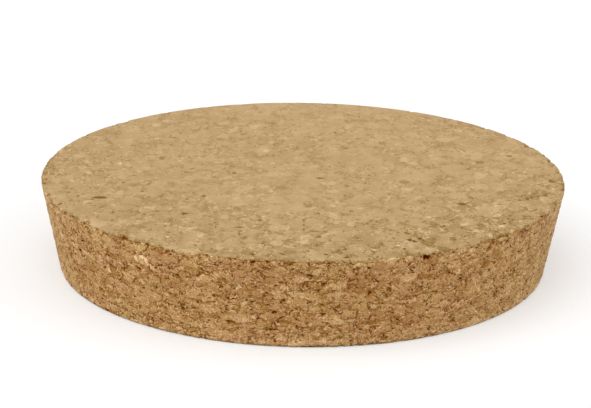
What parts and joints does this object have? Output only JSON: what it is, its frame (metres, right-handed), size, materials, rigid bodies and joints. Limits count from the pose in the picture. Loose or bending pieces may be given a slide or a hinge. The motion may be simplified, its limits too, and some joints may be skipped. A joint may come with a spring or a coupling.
{
  "type": "cork stopper",
  "caption": "Wide, shallow cork stopper of pressed granules, tapered towards its lower face so that it wedges into the mouth of a jar.",
  "frame": {"origin": "centre of the bottom face, which is the narrow end that goes into the jar", "axes": "+Z along the stopper's own axis, from the narrow end up to the wide end; X and Y are alike, since the part is turned, and the picture looks along +Y"},
  "size_m": [0.1148, 0.1148, 0.02],
  "materials": {
    "cork": "pressed cork granules, faces sanded smooth and pale, wall ground rough and browner"
  },
  "bodies": {
    "root": {"stopper": "cork"}
  },
  "joints": []
}
